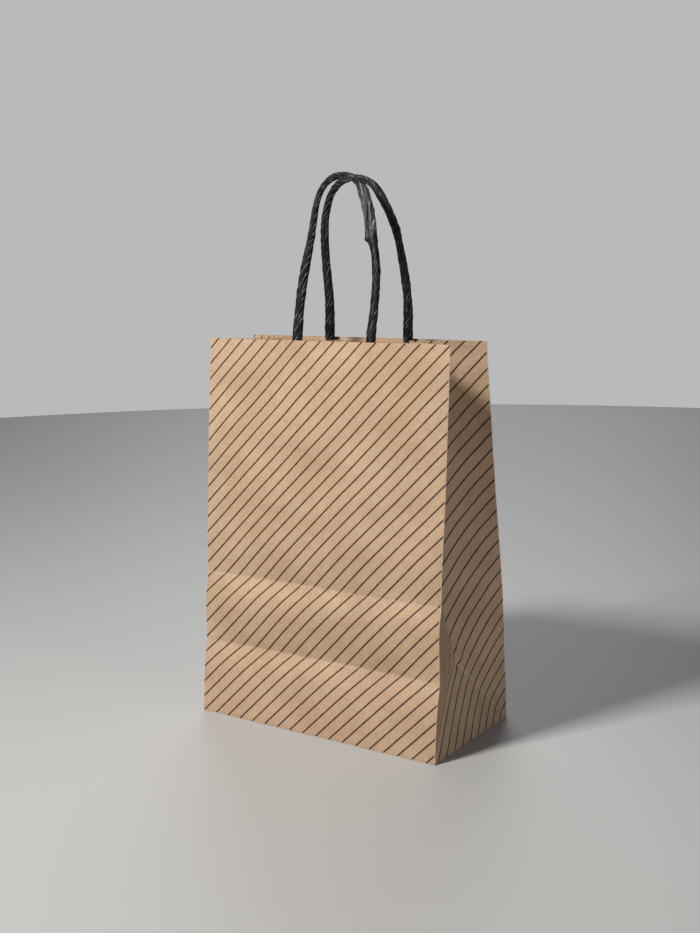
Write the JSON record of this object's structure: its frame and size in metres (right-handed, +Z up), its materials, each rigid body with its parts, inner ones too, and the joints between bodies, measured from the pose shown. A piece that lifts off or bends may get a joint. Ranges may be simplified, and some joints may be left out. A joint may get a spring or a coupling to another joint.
{
  "type": "gift bag",
  "caption": "Small kraft paper gift bag with fine diagonal stripes, folded side gussets, a flat bottom and dark twisted paper handles.",
  "frame": {"origin": "the middle of the bottom's underside, where the bag stands", "axes": "+Z up, +X across the front panel to the right, -Y out of the front panel"},
  "size_m": [0.15, 0.08, 0.296],
  "materials": {
    "printed_kraft": "matte",
    "plain_kraft": "matte",
    "handle_cord": "matte"
  },
  "bodies": {
    "bottom": {"bottom_back_flap": "printed_kraft", "bottom_front_flap": "printed_kraft", "bottom_tuck_right": "printed_kraft", "bottom_tuck_left": "printed_kraft"},
    "front_side": {"front_panel": "printed_kraft", "front_patch_backing": "plain_kraft", "front_patch_cover": "plain_kraft", "front_handle_left_end": "handle_cord", "front_handle_right_end": "handle_cord"},
    "back_side": {"back_panel": "printed_kraft", "seam_flap": "printed_kraft", "back_patch_backing": "plain_kraft", "back_patch_cover": "plain_kraft", "back_handle_left_end": "handle_cord", "back_handle_right_end": "handle_cord"},
    "right_gusset_front_half": {"right_gusset_front": "printed_kraft"},
    "right_gusset_back_half": {"right_gusset_back": "printed_kraft"},
    "left_gusset_front_half": {"left_gusset_front": "printed_kraft"},
    "left_gusset_back_half": {"left_gusset_back": "printed_kraft"},
    "right_base_triangle": {"right_gusset_base": "printed_kraft"},
    "left_base_triangle": {"left_gusset_base": "printed_kraft"},
    "front_handle": {"front_handle_loop": "handle_cord"},
    "back_handle": {"back_handle_loop": "handle_cord"}
  },
  "joints": [
    {"name": "mouth_front", "type": "hinge", "parent": "bottom", "child": "front_side", "pos_m": [0, -0.0399, 0.00045], "axis": [1, 0, 0], "range_deg": [0, 2.8]},
    {"name": "mouth_back", "type": "hinge", "parent": "bottom", "child": "back_side", "pos_m": [0, 0.0399, 0.00045], "axis": [-1, 0, 0], "range_deg": [0, 4.18]},
    {"name": "right_gusset_front_fold", "type": "hinge", "parent": "front_side", "child": "right_gusset_front_half", "pos_m": [0.075, -0.03946, 0.00046], "axis": [0, -0.0786, -0.9969], "range_deg": [0, 25.24], "deforming": ["right_gusset_front"]},
    {"name": "right_gusset_back_fold", "type": "hinge", "parent": "back_side", "child": "right_gusset_back_half", "pos_m": [0.075, 0.03945, 0.00044], "axis": [0, -0.1167, 0.9932], "range_deg": [0, 25.24], "deforming": ["right_gusset_back"]},
    {"name": "right_base_fold", "type": "hinge", "parent": "bottom", "child": "right_base_triangle", "pos_m": [0.075, 0, 0.00045], "axis": [0, 1, 0], "range_deg": [0, 9.7]},
    {"name": "left_gusset_front_fold", "type": "hinge", "parent": "front_side", "child": "left_gusset_front_half", "pos_m": [-0.075, -0.03946, 0.00046], "axis": [0, 0.0786, 0.9969], "range_deg": [0, 25.24], "deforming": ["left_gusset_front"]},
    {"name": "left_gusset_back_fold", "type": "hinge", "parent": "back_side", "child": "left_gusset_back_half", "pos_m": [-0.075, 0.03945, 0.00044], "axis": [0, 0.1167, -0.9932], "range_deg": [0, 25.24], "deforming": ["left_gusset_back"]},
    {"name": "left_base_fold", "type": "hinge", "parent": "bottom", "child": "left_base_triangle", "pos_m": [-0.075, 0, 0.00045], "axis": [0, -1, 0], "range_deg": [0, 9.7]},
    {"name": "front_handle_fold", "type": "hinge", "parent": "front_side", "child": "front_handle", "pos_m": [0, -0.0234, 0.21184], "axis": [1, 0, 0], "range_deg": [0, 170]},
    {"name": "back_handle_fold", "type": "hinge", "parent": "back_side", "child": "back_handle", "pos_m": [0, 0.0154, 0.21105], "axis": [-1, 0, 0], "range_deg": [0, 170]}
  ],
  "couplings": [
    {"joint": "mouth_back", "follows": "mouth_front", "ratio": 1.4877},
    {"joint": "right_gusset_front_fold", "follows": "mouth_front", "ratio": 9.0112},
    {"joint": "right_gusset_back_fold", "follows": "mouth_front", "ratio": 9.0112},
    {"joint": "right_base_fold", "follows": "mouth_front", "ratio": 3.4596},
    {"joint": "left_gusset_front_fold", "follows": "mouth_front", "ratio": 9.0112},
    {"joint": "left_gusset_back_fold", "follows": "mouth_front", "ratio": 9.0112},
    {"joint": "left_base_fold", "follows": "mouth_front", "ratio": 3.4596}
  ]
}
